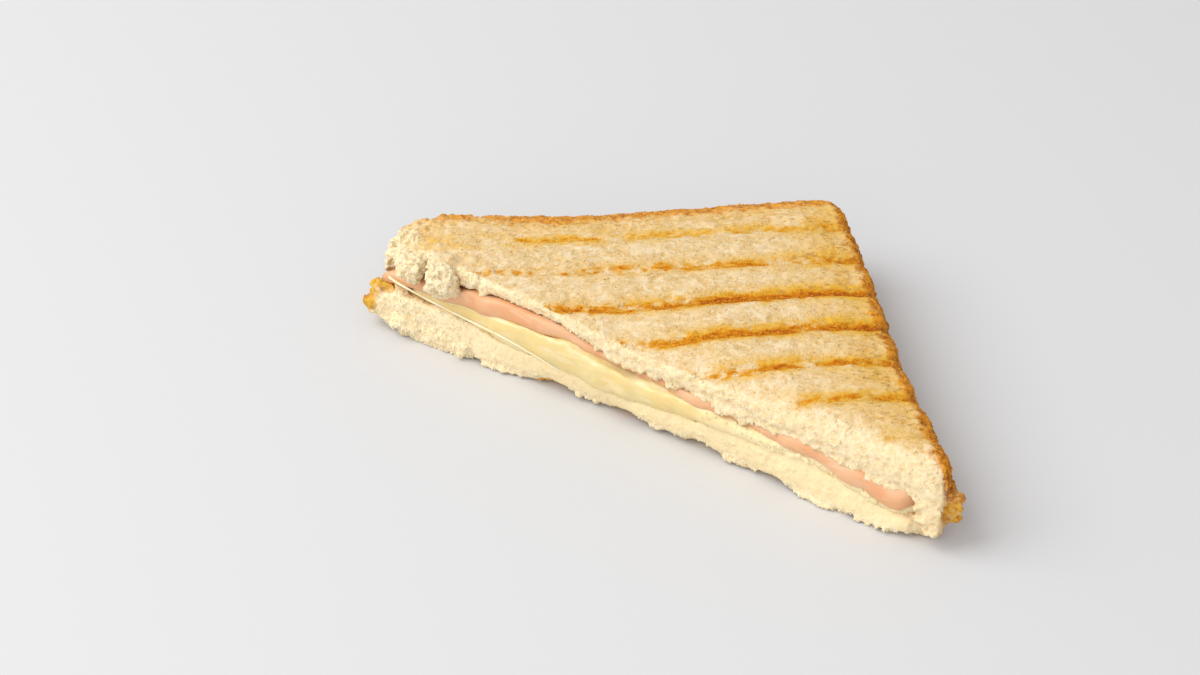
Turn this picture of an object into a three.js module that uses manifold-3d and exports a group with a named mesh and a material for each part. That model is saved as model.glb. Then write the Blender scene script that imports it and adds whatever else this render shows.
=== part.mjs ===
// Half of a pressed and grilled ham and cheese sandwich, cut from corner to corner and lying flat.
// Lengths are millimetres and +Z is up. +X runs along the cut, from the dome corner of the loaf
// to its front tip, and +Y points from the cut back to the square corner.
// Four pieces lie on each other: bread_bottom, cheese, ham and bread_top.

import * as THREE from 'three';
import { mergeVertices } from 'three/addons/utils/BufferGeometryUtils.js';
import Module from 'manifold-3d';

// ---- Driving dimensions of the half ----

const BACK_EDGE = 105; // side of the loaf, from the square corner to the dome corner
const FRONT_EDGE = 96; // base of the loaf, from the square corner to the front tip
const CUT_LENGTH = Math.hypot(BACK_EDGE, FRONT_EDGE);

const MIDDLE_TOP = 18.6; // height of the ridges in the middle
const CRUST_TOP = 17.4; // height of the ridges just inside the crust
const DOME_LIFT = 1.2; // the slice rides higher towards the dome corner
const DOME_LIFT_START = 50; // from here along the back edge
const DOME_LIFT_RUN = 28;
const DOME_LIFT_DEPTH = 34; // and this far in from it
const CROWN_RUN = 13; // distance over which the top climbs from the crust to the middle
const SEAM_HEIGHT = 7.9; // where the crusts of the two slices meet
const SLICE_THICKNESS = 8.2; // lower slice in the middle, pressed

const CHEESE_THICKNESS = 2.2;
const GAP = 0.3; // air between neighbouring layers

const SQUARE_CORNER_RADIUS = 6;
const DOME_CORNER_RADIUS = 27;
const TIP_RADIUS = 12;
const TOP_SHOULDER = 4; // rounding of the upper crust
const BASE_SHOULDER = 3.4; // rounding of the lower crust

const NECK_DEPTH = 0.6; // the loaf's side is drawn in below its dome
const NECK_AT = 57;
const NECK_WIDTH = 15;
const DOME_SWELL = 2.6; // and swells at the dome
const DOME_AT = 79;
const DOME_WIDTH = 10;
const NECK_FADE = 10; // rows further in than this run straight
const BASE_HOLLOW = 1.3; // the loaf's base is slightly hollow
const BASE_HOLLOW_AT = 60;
const BASE_HOLLOW_WIDTH = 26;

// ---- Grill grooves, pressed across the loaf parallel to the back edge ----

const GROOVE_PITCH = 11.2;
const FIRST_GROOVE = 12.4; // from the back edge
const GROOVE_STRENGTHS = [0.75, 0.85, 1, 1, 1, 0.9, 0.8, 0.5];
const GROOVE_DEPTH = 1;
const GROOVE_HALF_WIDTH = 1.6;
const RIDGE_CROWN = 0.12; // share of the depth that is the soft crown of a ridge
const BASE_GROOVE_DEPTH = 0.9;
const BASE_LAND = 0.12; // the foot of each groove's slope that the flat lands underneath cut off
const SCALLOP = 0.32; // the side crust bulges by this at a ridge and is drawn in at a groove
const GROOVE_FADE_START = 58; // towards the dome corner the grooves grow shallow
const GROOVE_FADE_RUN = 34;
const DOME_GROOVE_LOSS = 0.6;
const CUT_GROOVE_LOSS = 0.75; // and shallower too where the knife pressed the slice down

// ---- The cut, as profiles of [station, value]; station 0 is the dome end and 1 the front end ----

const CUT_TOP = [[0.08, 14], [0.14, 17.8], [0.3, 18.4], [0.41, 17.6], [0.47, 15.4], [0.56, 14.6],
  [0.62, 14.8], [0.7, 13.9], [0.76, 14.4], [0.85, 12], [0.91, 10.8], [0.95, 9.2]];
const CUT_LIP = [[0.08, 9.4], [0.13, 13.6], [0.2, 15.4], [0.32, 15.4], [0.41, 15], [0.46, 12.8],
  [0.55, 11.7], [0.6, 12.1], [0.68, 10.9], [0.76, 11.6], [0.84, 9.2], [0.91, 8.3]];
const CUT_BREAD = [[0.08, 7.2], [0.14, 9], [0.22, 9.2], [0.3, 7], [0.4, 6.2], [0.5, 5.5],
  [0.57, 6.2], [0.65, 7.3], [0.77, 7.8], [0.84, 5.4], [0.9, 3.5], [0.94, 3.1]];
const CUT_CHEESE = [[0.08, 0.5], [0.2, 0.8], [0.25, 2.4], [0.3, 4.3], [0.4, 6], [0.46, 4.2],
  [0.53, 3.5], [0.6, 2.4], [0.65, 1.2], [0.75, 0.8], [0.9, 0.5]];
const HAM_THICKNESS = 1.5;
const CUT_HAM = [[0.21, 1.5], [0.26, 3.2], [0.32, 2.9], [0.4, 1.7], [0.5, 1.5],
  [0.75, 1.5], [0.86, 2.2], [0.92, 3.2]]; // it lies in folds at both ends of the cut
const BASE_RISE = [[0.08, 3.4], [0.15, 0.3], [0.25, 0.2], [0.4, 1.9], [0.52, 1.7], [0.7, 1.1],
  [0.84, 0.2], [0.93, 1.6]];

// Setback of each edge from the straight line of the cut.
const TOP_SETBACK = [[0.08, 6.2], [0.16, 4.2], [0.22, 3.4], [0.5, 2.4], [0.9, 1.4], [0.98, 0.5]];
const BREAD_SETBACK = [[0.08, 0.5], [0.25, 1.1], [0.5, 1.4], [0.9, 1], [0.98, 0.5]];
const BASE_SETBACK = [[0.08, 0.5], [0.2, 0.9], [0.42, 2.4], [0.6, 2], [0.76, 0.9], [0.85, 0.1]];
const CHEESE_SETBACK = [[0.1, 3.5], [0.22, 2], [0.3, 1], [0.5, 0.8], [0.6, 1.2], [0.9, 1.4]];
const HAM_SETBACK = [[0.1, 2.4], [0.2, 1.8], [0.36, 1.7], [0.44, 2.9], [0.5, 3.2], [0.54, 2.2],
  [0.6, 1.7], [0.66, 3.4], [0.7, 1.8], [0.85, 1.2], [0.94, 1.6]];

// At the open end of the cut the ham arches up to the lip of the upper slice.
const HAM_ARCH = [[0.14, 0], [0.26, 0.3], [0.38, 0.8], [0.46, 0]];
const HAM_ARCH_AT = 3.8; // in from the cut
const HAM_ARCH_WIDTH = 2.6;

// How far in from the cut the knife's pressure reaches: the top slopes down, the layers bend and
// the underside lifts.
const CUT_TOP_RUN = [[0.4, 22], [0.6, 14], [0.68, 10], [0.8, 6]];
const CUT_LAYER_RUN = 14;
const CUT_BASE_RUN = 11;

const RAGGED = 0.55; // unevenness of torn crumb at the cut
const FACE_BULGE = 0.7; // the crumb face swells between its edges
const CRUST_BULGE = 0.45;
const CRUST_CURL = 1.3; // each crust curls in at the seam
const THINNEST_CRUMB = 1.6;
const DRAPE_HEIGHT = 3.6; // the upper slice hangs down to this at the front tip

// The underside isn't quite flat: it touches the table at three places and clears it elsewhere.
const RESTS = [{ along: 88, across: 8 }, { along: 9, across: 9 }, { along: 8, across: 79 }];
const REST_RISE = 0.25;
const REST_REACH = 28; // distance over which the underside rises

// ---- Where the filling ends, in from the crust ----

const HAM_MARGIN = 8;
const CHEESE_MARGIN = 11.5;
const PINCH_MARGIN = 5; // nearer the crust than this the slices touch

// ---- Sampling ----

const BACK_ROWS = [0, 0.6, 1.6, 3.2, PINCH_MARGIN, HAM_MARGIN];
const GROOVE_ROW_STEPS = [0, 1.1, 2.2, 5.6, 9, 10.1]; // from one groove to the next
const TIP_ROWS_FROM_END = [6.2, 4.6, 3.2, 2, 0.8];
const CUT_STRETCH = 16; // the first stretch of a row, in from the cut
const CUT_SHARES = [0, 0.12, 0.3, 0.6];
const INNER_SHARES = [0, 0.25, 0.5, 0.75]; // of the stretch between cut and crust
const CRUST_COLUMNS = [CHEESE_MARGIN, HAM_MARGIN, PINCH_MARGIN, 2.6, 1, 0]; // in from the crust
const FULL_ROW = CUT_STRETCH + CHEESE_MARGIN; // shorter rows squeeze their columns
const SHORTEST_FILLED_ROW = 9.5;
const LONGEST_EMPTY_ROW = 6;
const DRAPE_ROWS = 3; // past the end of the lower slice the upper one hangs down

// ---- Colours and finish ----

const BREAD = { color: 0xefd9a6, roughness: 0.9, metalness: 0 };
const CHEESE = { color: 0xf4d97c, roughness: 0.35, metalness: 0 };
const HAM = { color: 0xf2b090, roughness: 0.45, metalness: 0 };

const wasm = await Module();
wasm.setup();

// ---- Small helpers ----

const clamp01 = (value) => Math.min(1, Math.max(0, value));
const mix = (from, to, share) => from + (to - from) * share;

function smooth(value) {
  const share = clamp01(value);
  return share * share * (3 - 2 * share);
}

// Value of a [station, value] profile, eased between its points.
function profileAt(profile, station) {
  if (station <= profile[0][0]) return profile[0][1];
  for (let i = 1; i < profile.length; i += 1) {
    const [start, before] = profile[i - 1];
    const [end, after] = profile[i];
    if (station <= end) return mix(before, after, smooth((station - start) / (end - start)));
  }
  return profile.at(-1)[1];
}

// Repeatable unevenness between -1 and 1, from a few waves that never line up.
function uneven(position, seed) {
  const waves = [[0.83, 0.45], [1.97, 0.35], [3.41, 0.2]];
  return waves.reduce(
    (sum, [pace, size], i) => sum + size * Math.sin(position * pace + seed * (i + 1.7)),
    0,
  );
}

// ---- Plan of the half: along runs from the side crust, across from the back crust ----

const cutDistance = (along, across) =>
  (BACK_EDGE * FRONT_EDGE - along * FRONT_EDGE - across * BACK_EDGE) / CUT_LENGTH;

const cutStation = (along, across) =>
  ((BACK_EDGE - along) * BACK_EDGE + across * FRONT_EDGE) / CUT_LENGTH ** 2;

const bell = (offset, width) => Math.exp(-((offset / width) ** 2));

const backEdgeAt = (along) =>
  NECK_DEPTH * bell(along - NECK_AT, NECK_WIDTH) - DOME_SWELL * bell(along - DOME_AT, DOME_WIDTH);

// 1 in the middle of a groove and 0 on the ridges, times the groove's strength.
function grooveAt(across, crown) {
  const nearest = Math.round((across - FIRST_GROOVE) / GROOVE_PITCH);
  const index = Math.min(GROOVE_STRENGTHS.length - 1, Math.max(0, nearest));
  const distance = Math.abs(across - FIRST_GROOVE - index * GROOVE_PITCH);
  const valley = bell(distance ** 2, GROOVE_HALF_WIDTH ** 2); // with a flat floor
  const ridge = Math.max(0, 1 - (distance / (GROOVE_PITCH / 2)) ** 2);
  return GROOVE_STRENGTHS[index] * ((1 - crown) * valley + crown * ridge);
}

const sideEdgeAt = (across) =>
  BASE_HOLLOW * bell(across - BASE_HOLLOW_AT, BASE_HOLLOW_WIDTH) +
  SCALLOP * (2 * grooveAt(across, RIDGE_CROWN) - 1);

// Distance to the nearer of two edges that meet in a rounded corner.
function cornerDistance(first, second, radius) {
  if (first >= radius || second >= radius) return Math.min(first, second);
  return radius - Math.hypot(radius - first, radius - second);
}

function crustDistance(along, across) {
  const fromBack = across - backEdgeAt(along);
  const fromSide = along - sideEdgeAt(across);
  const square = cornerDistance(fromBack, fromSide, SQUARE_CORNER_RADIUS);
  const dome = cornerDistance(fromBack, BACK_EDGE - along, DOME_CORNER_RADIUS);
  const tip = cornerDistance(fromSide, FRONT_EDGE - across, TIP_RADIUS);
  return Math.max(0, Math.min(square, dome, tip));
}

// How far a round corner holds an edge back at a given depth into the corner.
function cornerInset(depth, radius) {
  if (depth >= radius) return 0;
  return radius - Math.sqrt(radius ** 2 - (radius - Math.max(0, depth)) ** 2);
}

// Fall of a rounded shoulder towards the crust.
function shoulder(distance, radius) {
  if (distance >= radius) return 0;
  return radius - Math.sqrt(radius ** 2 - (radius - distance) ** 2);
}

// ---- Rows, each parallel to the back edge; a place on the half is a row and a distance along it ----

// The loaf's side is drawn in at the neck, so the rows near it bend with it.
const acrossAt = (row, along) => row + backEdgeAt(along) * clamp01(1 - row / NECK_FADE);

function crustEnd(row) {
  const square = cornerInset(row, SQUARE_CORNER_RADIUS);
  const tip = cornerInset(FRONT_EDGE - row, TIP_RADIUS);
  return sideEdgeAt(row) + square + tip;
}

// End of a row at the straight cut, or at the round dome corner where that comes first.
function cutEnd(row, setback = 0) {
  const line = BACK_EDGE * (1 - row / FRONT_EDGE) - (setback * CUT_LENGTH) / FRONT_EDGE;
  return Math.min(line, BACK_EDGE - cornerInset(row, DOME_CORNER_RADIUS));
}

function tornEnd(row, setback, seed) {
  return cutEnd(row, profileAt(setback, row / FRONT_EDGE) + RAGGED * uneven(row, seed));
}

const rowLength = (row) => cutEnd(row) - crustEnd(row);
const squeezeOf = (row) => Math.min(1, rowLength(row) / FULL_ROW);

function rowStations() {
  const rows = [...BACK_ROWS];
  const end = FRONT_EDGE - TIP_RADIUS * (1 - Math.SQRT1_2);
  const last = end - TIP_ROWS_FROM_END[0] - 1;
  for (let groove = -1; groove < GROOVE_STRENGTHS.length; groove += 1) {
    for (const step of GROOVE_ROW_STEPS) {
      const row = FIRST_GROOVE + groove * GROOVE_PITCH + step;
      if (row > HAM_MARGIN + 1 && row < last) rows.push(row);
    }
  }
  return [...rows, ...TIP_ROWS_FROM_END.map((back) => end - back)];
}

const ROWS = rowStations();
const LAST_LOWER_ROW = ROWS.at(-1 - DRAPE_ROWS);

// Positions along a row from a piece's own cut edge to the crust; curl moves the crust end in.
function columnsOf(row, cutSide, curl = 0) {
  const squeeze = squeezeOf(row);
  const stretchEnd = cutEnd(row) - CUT_STRETCH * squeeze;
  const crustStart = crustEnd(row) + CHEESE_MARGIN * squeeze;
  const nearCrust = CRUST_COLUMNS.map((step) => crustEnd(row) + Math.max(step, curl) * squeeze);
  nearCrust[nearCrust.length - 2] += 0.5 * curl * squeeze;
  return [
    ...CUT_SHARES.map((share) => mix(cutSide, stretchEnd, share)),
    ...INNER_SHARES.map((share) => mix(stretchEnd, crustStart, share * squeeze)),
    ...nearCrust,
  ];
}

function placed(row, along, height) {
  const across = acrossAt(row, along);
  const x = (across * FRONT_EDGE - along * BACK_EDGE) / CUT_LENGTH;
  const y = -(along * FRONT_EDGE + across * BACK_EDGE) / CUT_LENGTH;
  return new THREE.Vector3(x, y, height);
}

// ---- Heights of the surfaces ----

// 1 at the cut and 0 further in than a run.
const nearCut = (row, along, run) =>
  (1 - clamp01(cutDistance(along, acrossAt(row, along)) / run)) ** 2;

const profileOn = (profile, row, along) => profileAt(profile, cutStation(along, acrossAt(row, along)));

function topHeight(row, along) {
  const fromCrust = crustDistance(along, acrossAt(row, along));
  const dome = smooth((along - DOME_LIFT_START) / DOME_LIFT_RUN) * smooth(1 - row / DOME_LIFT_DEPTH);
  const crown = mix(CRUST_TOP, MIDDLE_TOP, smooth(fromCrust / CROWN_RUN)) + DOME_LIFT * dome;
  const slope = nearCut(row, along, profileOn(CUT_TOP_RUN, row, along));
  const open = mix(crown, profileOn(CUT_TOP, row, along), slope);
  const faded = 1 - DOME_GROOVE_LOSS * smooth((along - GROOVE_FADE_START) / GROOVE_FADE_RUN);
  const pressed = 1 - CUT_GROOVE_LOSS * slope;
  const groove = GROOVE_DEPTH * faded * pressed * grooveAt(row, RIDGE_CROWN);
  return open - groove - shoulder(fromCrust, TOP_SHOULDER);
}

function lowerTopHeight(row, along) {
  const fromCrust = crustDistance(along, acrossAt(row, along));
  const flat = mix(SEAM_HEIGHT, SLICE_THICKNESS, smooth(fromCrust / CROWN_RUN));
  return mix(flat, profileOn(CUT_BREAD, row, along), nearCut(row, along, CUT_LAYER_RUN));
}

const rise = (value) => smooth((value - PINCH_MARGIN) / (HAM_MARGIN - PINCH_MARGIN));

// 0 where the slices touch near the crust and 1 where the filling holds them apart.
function fillingShare(row, along) {
  const fromSide = (along - crustEnd(row)) / squeezeOf(row);
  const beforeTip = (rowLength(row) - LONGEST_EMPTY_ROW) / (SHORTEST_FILLED_ROW - LONGEST_EMPTY_ROW);
  return rise(row) * rise(fromSide) * smooth(beforeTip);
}

function cheeseTopHeight(row, along) {
  const melted = profileOn(CUT_CHEESE, row, along);
  const thickness = mix(CHEESE_THICKNESS, melted, nearCut(row, along, CUT_LAYER_RUN));
  return lowerTopHeight(row, along) + GAP + thickness;
}

function hamBottomHeight(row, along) {
  const inward = cutDistance(along, acrossAt(row, along));
  const arch = profileOn(HAM_ARCH, row, along) * bell(inward - HAM_ARCH_AT, HAM_ARCH_WIDTH);
  return cheeseTopHeight(row, along) + GAP + arch;
}

function hamTopHeight(row, along) {
  const atCut = clamp01(1.6 * nearCut(row, along, CUT_LAYER_RUN));
  return hamBottomHeight(row, along) + mix(HAM_THICKNESS, profileOn(CUT_HAM, row, along), atCut);
}

// The underside of the upper slice rests on the ham, or on the lower slice near the crust,
// and at the cut it gapes open or is pressed down to its lip.
function upperBottomHeight(row, along) {
  if (row > LAST_LOWER_ROW) return DRAPE_HEIGHT;
  const filled = mix(lowerTopHeight(row, along), hamTopHeight(row, along), fillingShare(row, along));
  const resting = GAP + filled;
  const lip = mix(resting, profileOn(CUT_LIP, row, along), nearCut(row, along, CUT_LAYER_RUN));
  return Math.max(resting, lip);
}

function riseFromRests(along, across) {
  const distances = RESTS.map((rest) => Math.hypot(along - rest.along, across - rest.across));
  return REST_RISE * clamp01(Math.min(...distances) / REST_REACH);
}

function baseHeight(row, along) {
  const across = acrossAt(row, along);
  const lift = profileOn(BASE_RISE, row, along) * nearCut(row, along, CUT_BASE_RUN);
  const groove = BASE_GROOVE_DEPTH * Math.max(0, grooveAt(row, 0) - BASE_LAND);
  const round = shoulder(crustDistance(along, across), BASE_SHOULDER);
  return lift + groove + round + riseFromRests(along, across);
}

// ---- Closed body from equal rings, with both ends capped ----

// Each ring is { upper, crustSide, lower, cutSide }: upper and lower run from the cut to the crust.
function bodyFromRings(rings) {
  const vertices = [];
  const indices = [];
  const loops = rings.map((ring) => {
    const points = [...ring.upper, ...ring.crustSide, ...[...ring.lower].reverse(), ...ring.cutSide];
    return points.map((point) => vertices.push(point) - 1);
  });
  const count = loops[0].length;
  for (let r = 1; r < loops.length; r += 1) {
    for (let i = 0; i < count; i += 1) {
      const next = (i + 1) % count;
      const [a, b] = [loops[r - 1][i], loops[r - 1][next]];
      const [c, d] = [loops[r][i], loops[r][next]];
      indices.push(a, c, b, b, c, d);
    }
  }
  const { upper, crustSide, cutSide } = rings[0];
  for (const [loop, turned] of [[loops[0], false], [loops.at(-1), true]]) {
    for (const [a, b, c] of capTriangles(loop, upper.length, crustSide.length, cutSide.length)) {
      indices.push(...(turned ? [a, c, b] : [a, b, c]));
    }
  }
  const geometry = new THREE.BufferGeometry();
  const numbers = vertices.flatMap((point) => point.toArray());
  geometry.setAttribute('position', new THREE.Float32BufferAttribute(numbers, 3));
  geometry.setIndex(indices);
  return geometry;
}

// A cap is a strip between the upper and lower edges, with a small fan at each end.
function capTriangles(loop, columns, crustPoints, cutPoints) {
  const triangles = [];
  const lowerStart = columns + crustPoints;
  const lower = (column) => loop[lowerStart + columns - 1 - column];
  for (let column = 1; column < columns; column += 1) {
    triangles.push([loop[column - 1], loop[column], lower(column - 1)]);
    triangles.push([loop[column], lower(column), lower(column - 1)]);
  }
  for (let i = columns; i < lowerStart; i += 1) {
    triangles.push([loop[columns - 1], loop[i], loop[i + 1]]);
  }
  for (let i = 0; i < cutPoints; i += 1) {
    const from = lowerStart + columns - 1 + i;
    triangles.push([loop[0], loop[from], loop[from + 1]]);
  }
  return triangles.filter(([a, b, c]) => a !== b && b !== c && a !== c);
}

// ---- The two slices ----

// Side points of a slice between its two edges, pushed out by a bulge.
function sidePoints(row, from, to, bulge) {
  return [0.33, 0.67].map((share) => {
    const out = bulge * Math.sin(Math.PI * share);
    return placed(row, mix(from.along, to.along, share) + out, mix(from.height, to.height, share));
  });
}

function sliceRing(row, slice) {
  const upperAlong = columnsOf(row, tornEnd(row, slice.upperSetback, slice.seed), slice.upperCurl);
  const lowerAlong = columnsOf(row, tornEnd(row, slice.lowerSetback, slice.seed + 2), slice.lowerCurl);
  const lower = lowerAlong.map((along) => ({ along, height: slice.lower(row, along) }));
  const upper = upperAlong.map((along) => {
    const thinnest = slice.lower(row, along) + THINNEST_CRUMB;
    return { along, height: Math.max(slice.upper(row, along), thinnest) };
  });
  const put = ({ along, height }) => placed(row, along, height);
  const swell = squeezeOf(row) * clamp01(row / HAM_MARGIN);
  return {
    upper: upper.map(put),
    lower: lower.map(put),
    crustSide: sidePoints(row, upper.at(-1), lower.at(-1), -CRUST_BULGE * swell),
    cutSide: sidePoints(row, lower[0], upper[0], FACE_BULGE * swell),
  };
}

const sliceGeometry = (slice, rows) => bodyFromRings(rows.map((row) => sliceRing(row, slice)));

// ---- The layers of the filling ----

function layerRing(row, layer) {
  const columns = columnsOf(row, tornEnd(row, layer.setback, layer.seed));
  const kept = columns.slice(0, columns.length - CRUST_COLUMNS.length + layer.crustColumns);
  const lower = kept.map((along) => placed(row, along, layer.lower(row, along)));
  const upper = kept.map((along) => placed(row, along, layer.upper(row, along)));
  const round = (along, out) => {
    const middle = mix(layer.lower(row, along), layer.upper(row, along), 0.5);
    return [placed(row, along + out, middle)];
  };
  return {
    upper,
    lower,
    crustSide: round(kept.at(-1), -layer.edgeRound),
    cutSide: round(kept[0], layer.edgeRound),
  };
}

function layerGeometry(layer) {
  const filled = ROWS.filter((row) => row >= layer.margin && rowLength(row) > SHORTEST_FILLED_ROW);
  return bodyFromRings(filled.map((row) => layerRing(row, layer)));
}

// ---- Torn crumbs and flakes that stand out from a slice ----

const LUMP_DETAIL = 2;
const TIP_FLAKE_SEED = 5;

// station runs along the cut, inward back from it; size is the three half widths.
const TOP_LUMPS = [
  { station: 0.21, inward: 0.9, height: 16.5, size: [3.1, 2.6, 3.4], turn: 0.2 },
  { station: 0.2, inward: 4.2, height: 17, size: [3.4, 3.2, 2.2], turn: -0.2 },
  { station: 0.155, inward: 2.4, height: 15.7, size: [2.8, 2.8, 2.7], turn: 0.5 },
  { station: 0.13, inward: 5.8, height: 15.6, size: [2.2, 2.4, 2.2], turn: 0.1 },
];

const BASE_LUMPS = [
  { station: 0.15, inward: 1.6, height: 3.6, size: [3.6, 2.4, 2.4], turn: 0.4 },
  { station: 0.1, inward: 2.6, height: 5, size: [3, 3, 2.4], turn: 0 },
];

// A flake of crust that curls away from the side crust near the front tip.
const TIP_FLAKE = { along: 0.2, across: 86, height: 8.8, size: [3.3, 1.3, 1.7] };

function lumpGeometry(size, seed) {
  const geometry = new THREE.IcosahedronGeometry(1, LUMP_DETAIL);
  const position = geometry.getAttribute('position');
  const point = new THREE.Vector3();
  for (let i = 0; i < position.count; i += 1) {
    point.fromBufferAttribute(position, i);
    const swell = 1 + 0.14 * uneven(point.x * 3 + point.y * 4.1 + point.z * 2.7, seed);
    point.multiplyScalar(swell).multiply(new THREE.Vector3(...size));
    position.setXYZ(i, point.x, point.y, point.z);
  }
  return geometry;
}

function lumpAtCut({ station, inward, height, size, turn }, seed) {
  const geometry = lumpGeometry(size, seed);
  geometry.rotateZ(turn);
  const x = (station * FRONT_EDGE ** 2 - (1 - station) * BACK_EDGE ** 2) / CUT_LENGTH;
  const y = inward - (BACK_EDGE * FRONT_EDGE) / CUT_LENGTH;
  geometry.translate(x, y, height);
  return geometry;
}

function tipFlakeGeometry({ along, across, height, size }) {
  const geometry = lumpGeometry(size, TIP_FLAKE_SEED);
  geometry.rotateZ(-Math.atan2(BACK_EDGE, FRONT_EDGE));
  const place = placed(across, along, height);
  geometry.translate(place.x, place.y, place.z);
  return geometry;
}

// ---- Joining ----

function toSolid(geometry) {
  const bare = geometry.clone();
  bare.deleteAttribute('normal');
  bare.deleteAttribute('uv');
  const merged = mergeVertices(bare, 1e-4);
  return new wasm.Manifold(new wasm.Mesh({
    numProp: 3,
    vertProperties: new Float32Array(merged.getAttribute('position').array),
    triVerts: new Uint32Array(merged.getIndex().array),
  }));
}

function toGeometry(solid) {
  const mesh = solid.getMesh();
  const geometry = new THREE.BufferGeometry();
  geometry.setAttribute('position', new THREE.Float32BufferAttribute(mesh.vertProperties, 3));
  geometry.setIndex([...mesh.triVerts]);
  return geometry;
}

function joined(body, lumps) {
  const whole = lumps.reduce((sum, lump) => sum.add(toSolid(lump)), toSolid(body));
  return toGeometry(whole);
}

// ---- The four pieces ----

function breadTop() {
  const slice = {
    upper: topHeight,
    lower: upperBottomHeight,
    upperSetback: TOP_SETBACK,
    lowerSetback: TOP_SETBACK,
    lowerCurl: CRUST_CURL,
    seed: 1,
  };
  const lumps = TOP_LUMPS.map((lump, i) => lumpAtCut(lump, i));
  return joined(sliceGeometry(slice, ROWS), [...lumps, tipFlakeGeometry(TIP_FLAKE)]);
}

function breadBottom() {
  const slice = {
    upper: lowerTopHeight,
    lower: baseHeight,
    upperSetback: BREAD_SETBACK,
    lowerSetback: BASE_SETBACK,
    upperCurl: CRUST_CURL,
    seed: 4,
  };
  const lumps = BASE_LUMPS.map((lump, i) => lumpAtCut(lump, i + TOP_LUMPS.length));
  const rows = ROWS.filter((row) => row <= LAST_LOWER_ROW);
  return joined(sliceGeometry(slice, rows), lumps);
}

function cheese() {
  return layerGeometry({
    lower: (row, along) => lowerTopHeight(row, along) + GAP,
    upper: cheeseTopHeight,
    setback: CHEESE_SETBACK,
    margin: CHEESE_MARGIN,
    crustColumns: 1,
    edgeRound: 0.6,
    seed: 7,
  });
}

function ham() {
  return layerGeometry({
    lower: hamBottomHeight,
    upper: hamTopHeight,
    setback: HAM_SETBACK,
    margin: HAM_MARGIN,
    crustColumns: 2,
    edgeRound: 0.4,
    seed: 9,
  });
}

function pieceMesh(name, geometry, finish) {
  const mesh = new THREE.Mesh(geometry, new THREE.MeshStandardMaterial(finish));
  mesh.name = name;
  return mesh;
}

const group = new THREE.Group();
group.add(pieceMesh('bread_bottom', breadBottom(), BREAD));
group.add(pieceMesh('cheese', cheese(), CHEESE));
group.add(pieceMesh('ham', ham(), HAM));
group.add(pieceMesh('bread_top', breadTop(), BREAD));

// The origin is the middle of the footprint, on the surface the half lies on.
const box = new THREE.Box3().setFromObject(group);
const centre = box.getCenter(new THREE.Vector3());
group.position.set(-centre.x, -centre.y, -box.min.z);

export default group;
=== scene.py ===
# %% [markdown]
# # Half of a grilled ham and cheese sandwich
#
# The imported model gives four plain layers: two slices of toast bread, melted cheese and ham. They
# could be sculpted by hand. Here every layer is copied, remeshed finely enough to hold crumb and
# pores, and roughened and coloured by rules, so it stays in place and comes out the same each time.

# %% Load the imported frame
import math
import random

import bmesh
import bpy
import numpy as np
from mathutils import Matrix, Vector, noise
from mathutils.bvhtree import BVHTree


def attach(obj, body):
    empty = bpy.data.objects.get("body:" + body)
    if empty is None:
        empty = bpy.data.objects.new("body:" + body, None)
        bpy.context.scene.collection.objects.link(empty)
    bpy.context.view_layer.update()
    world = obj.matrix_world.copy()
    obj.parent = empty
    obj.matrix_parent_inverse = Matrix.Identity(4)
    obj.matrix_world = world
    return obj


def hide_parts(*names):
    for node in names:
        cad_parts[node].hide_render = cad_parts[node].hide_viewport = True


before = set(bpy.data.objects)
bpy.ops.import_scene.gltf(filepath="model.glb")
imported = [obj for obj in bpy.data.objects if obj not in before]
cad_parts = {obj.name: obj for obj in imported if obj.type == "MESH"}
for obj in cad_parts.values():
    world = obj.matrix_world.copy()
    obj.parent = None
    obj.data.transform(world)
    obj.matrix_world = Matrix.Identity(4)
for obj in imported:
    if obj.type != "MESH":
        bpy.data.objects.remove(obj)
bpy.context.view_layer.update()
print("nodes:", sorted(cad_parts))

# %% [markdown]
# ## Units and the loaf's own directions
#
# Bread is easier to describe in the loaf's directions than in X and Y. "Along" runs from the side
# crust, "across" runs from the back crust, and the cut is the straight line where the knife went.
# An empty turned with the loaf could give them too, but a few named sizes do it for any point.

# %% The loaf's directions
MM = 0.001
BACK_EDGE = 105 * MM  # from the square corner to the dome corner
FRONT_EDGE = 96 * MM  # from the square corner to the front tip
CUT_LENGTH = math.hypot(BACK_EDGE, FRONT_EDGE)
SQUARE_CORNER = Vector((2.98 * MM, 37.49 * MM, 0))
CUT_Y = SQUARE_CORNER.y - BACK_EDGE * FRONT_EDGE / CUT_LENGTH  # the plane of the cut
CUT_START_X = SQUARE_CORNER.x - BACK_EDGE**2 / CUT_LENGTH  # its end at the dome corner


def along_of(points):
    return (-(points[:, 0] - SQUARE_CORNER.x) * BACK_EDGE
            - (points[:, 1] - SQUARE_CORNER.y) * FRONT_EDGE) / CUT_LENGTH


def across_of(points):
    return ((points[:, 0] - SQUARE_CORNER.x) * FRONT_EDGE
            - (points[:, 1] - SQUARE_CORNER.y) * BACK_EDGE) / CUT_LENGTH


def behind_cut(points):
    return points[:, 1] - CUT_Y


def station_of(points):
    """0 at the dome end of the cut and 1 at its front end."""
    return (points[:, 0] - CUT_START_X) / CUT_LENGTH


print(f"the cut is {CUT_LENGTH / MM:.0f} mm long and lies at y = {CUT_Y / MM:.1f} mm")

# %% [markdown]
# ## Camera
#
# The camera comes first, because light and detail depend on what it sees. It could be turned by
# hand. Two angles, a distance and a point to aim at say the same in numbers, and a long lens keeps
# the loaf's edges nearly parallel.

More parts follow.
